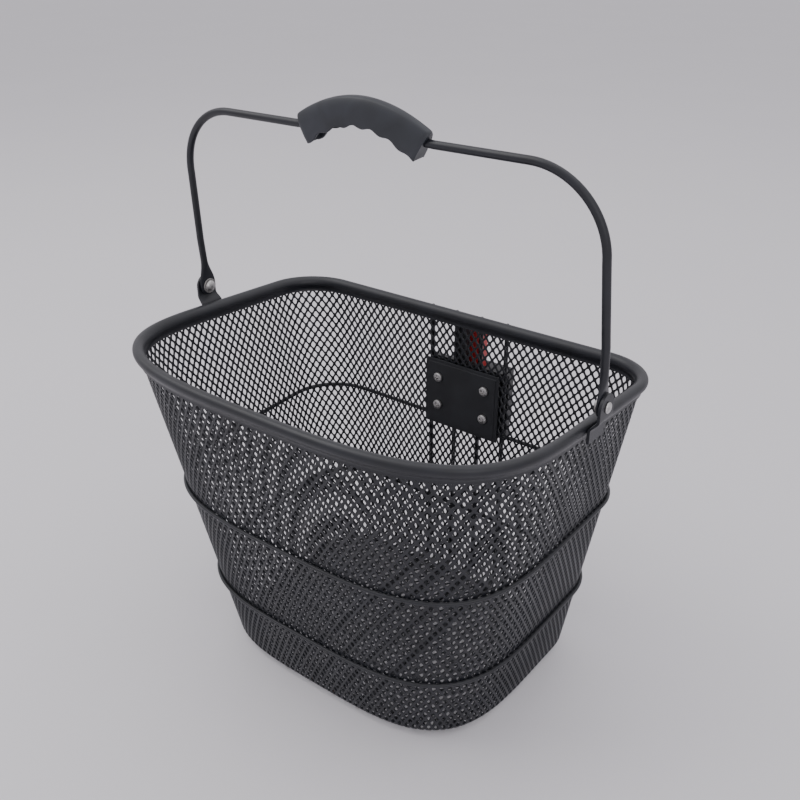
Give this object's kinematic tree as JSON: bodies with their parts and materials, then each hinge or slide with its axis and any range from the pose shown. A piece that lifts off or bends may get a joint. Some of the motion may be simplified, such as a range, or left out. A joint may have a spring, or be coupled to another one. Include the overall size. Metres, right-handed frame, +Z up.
{
  "type": "handlebar basket",
  "caption": "Deep expanded-metal bicycle basket with a hinged wire carry handle, hand grip and a quick-release handlebar bracket with a red button.",
  "frame": {"origin": "on the ground under the middle of the bounding box", "axes": "+Z up, +Y towards the handlebar (the flat back), -Y the rounded front, X along the handlebar"},
  "size_m": [0.3622, 0.2831, 0.4403],
  "materials": {
    "black_coat": "satin powder coat on steel",
    "black_plastic": "fine grained moulded plastic",
    "red_plastic": "smooth moulded plastic",
    "zinc_plated": "bright zinc plating"
  },
  "bodies": {
    "basket": {"wall_mesh": "black_coat", "floor_mesh": "black_coat", "top_rim": "black_coat", "hoop_lower": "black_coat", "hoop_upper": "black_coat", "support_wire_1": "black_coat", "support_wire_2": "black_coat", "support_wire_3": "black_coat", "support_wire_4": "black_coat", "ear_left": "black_coat", "ear_right": "black_coat", "pivot_rivet_left": "zinc_plated", "pivot_rivet_right": "zinc_plated", "pivot_washer_left": "zinc_plated", "pivot_washer_right": "zinc_plated", "backing_plate": "black_coat", "plate_screw_1": "zinc_plated", "plate_screw_2": "zinc_plated", "plate_screw_3": "zinc_plated", "plate_screw_4": "zinc_plated", "plate_nut_1": "zinc_plated", "plate_nut_2": "zinc_plated", "plate_nut_3": "zinc_plated", "plate_nut_4": "zinc_plated", "basket_bracket": "black_plastic", "adapter_housing": "black_plastic", "button_spring": "zinc_plated"},
    "handle": {"carry_handle": "black_coat", "handle_grip": "black_plastic"},
    "button": {"release_button": "red_plastic"},
    "latch": {"latch_pawl": "black_plastic"}
  },
  "joints": [
    {"name": "handle_hinge", "type": "hinge", "parent": "basket", "child": "handle", "pos_m": [0, -0.01, 0.2729], "axis": [1, 0, 0], "range_deg": [-103, 93]},
    {"name": "button_slide", "type": "slide", "parent": "basket", "child": "button", "axis": [0, 0, -1], "range_m": [0, 0.005], "stiffness_N_per_m": 600, "springref_m": -0.004, "deforming": ["button_spring"]},
    {"name": "latch_slide", "type": "slide", "parent": "basket", "child": "latch", "axis": [0, 1, 0], "range_m": [0, 0.0032]}
  ],
  "couplings": [
    {"joint": "latch_slide", "follows": "button_slide", "ratio": 0.64}
  ]
}
